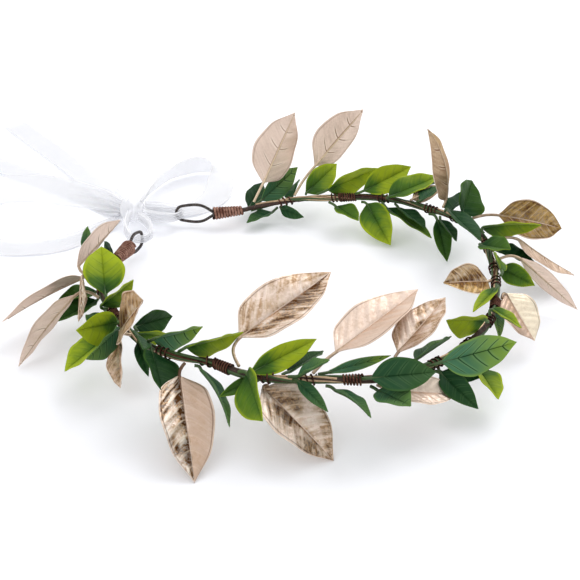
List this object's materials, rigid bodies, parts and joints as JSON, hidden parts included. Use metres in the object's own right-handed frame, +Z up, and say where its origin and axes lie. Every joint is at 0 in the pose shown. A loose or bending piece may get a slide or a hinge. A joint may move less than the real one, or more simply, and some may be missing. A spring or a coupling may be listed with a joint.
{
  "type": "leaf crown",
  "caption": "Open ring of taped wire with gold and green fabric leaves, a wire eye at each end, and a ribbon tied through both eyes in a bow.",
  "frame": {"origin": "middle of the whole piece's box, on the surface it lies on", "axes": "+Z up from the surface, -Y towards the front of the crown, +X to the wearer's left"},
  "size_m": [0.3407, 0.3617, 0.0687],
  "materials": {
    "wire_stem": "crepe floral tape over wire",
    "eye_wire": "dark coated wire",
    "binding_cord": "wound cord",
    "tape": "floral tape",
    "gold_leaf": "metallic coated fabric",
    "green_leaf": "dyed satin fabric",
    "ribbon": "sheer organza"
  },
  "bodies": {
    "root": {"stem": "wire_stem", "left_eye": "eye_wire", "right_eye": "eye_wire", "left_binding": "binding_cord", "right_binding": "binding_cord", "tape_bands": "tape", "gold_leaf_01": "gold_leaf", "gold_leaf_02": "gold_leaf", "gold_leaf_03": "gold_leaf", "gold_leaf_04": "gold_leaf", "gold_leaf_05": "gold_leaf", "gold_leaf_06": "gold_leaf", "gold_leaf_07": "gold_leaf", "gold_leaf_08": "gold_leaf", "gold_leaf_09": "gold_leaf", "gold_leaf_10": "gold_leaf", "gold_leaf_11": "gold_leaf", "gold_leaf_12": "gold_leaf", "gold_leaf_13": "gold_leaf", "gold_leaf_14": "gold_leaf", "gold_leaf_15": "gold_leaf", "gold_leaf_16": "gold_leaf", "gold_leaf_17": "gold_leaf", "gold_leaf_18": "gold_leaf", "gold_leaf_19": "gold_leaf", "gold_leaf_20": "gold_leaf", "gold_leaf_21": "gold_leaf", "green_sprig_01": "green_leaf", "green_sprig_02": "green_leaf", "green_sprig_03": "green_leaf", "green_sprig_04": "green_leaf", "green_sprig_05": "green_leaf", "green_sprig_06": "green_leaf", "green_sprig_07": "green_leaf", "green_sprig_08": "green_leaf", "green_sprig_09": "green_leaf", "green_sprig_10": "green_leaf", "green_sprig_11": "green_leaf", "green_sprig_12": "green_leaf", "green_sprig_13": "green_leaf", "green_sprig_14": "green_leaf", "green_sprig_15": "green_leaf", "green_sprig_16": "green_leaf", "green_sprig_17": "green_leaf", "green_sprig_18": "green_leaf", "green_sprig_19": "green_leaf", "green_sprig_20": "green_leaf", "green_sprig_21": "green_leaf", "green_sprig_22": "green_leaf", "green_sprig_23": "green_leaf", "green_sprig_24": "green_leaf", "green_sprig_25": "green_leaf", "green_sprig_26": "green_leaf", "tie_left": "ribbon", "tie_right": "ribbon", "ribbon_knot": "ribbon", "bow_loop_left": "ribbon", "bow_loop_right": "ribbon", "tail_long": "ribbon", "tail_short": "ribbon"}
  },
  "joints": []
}
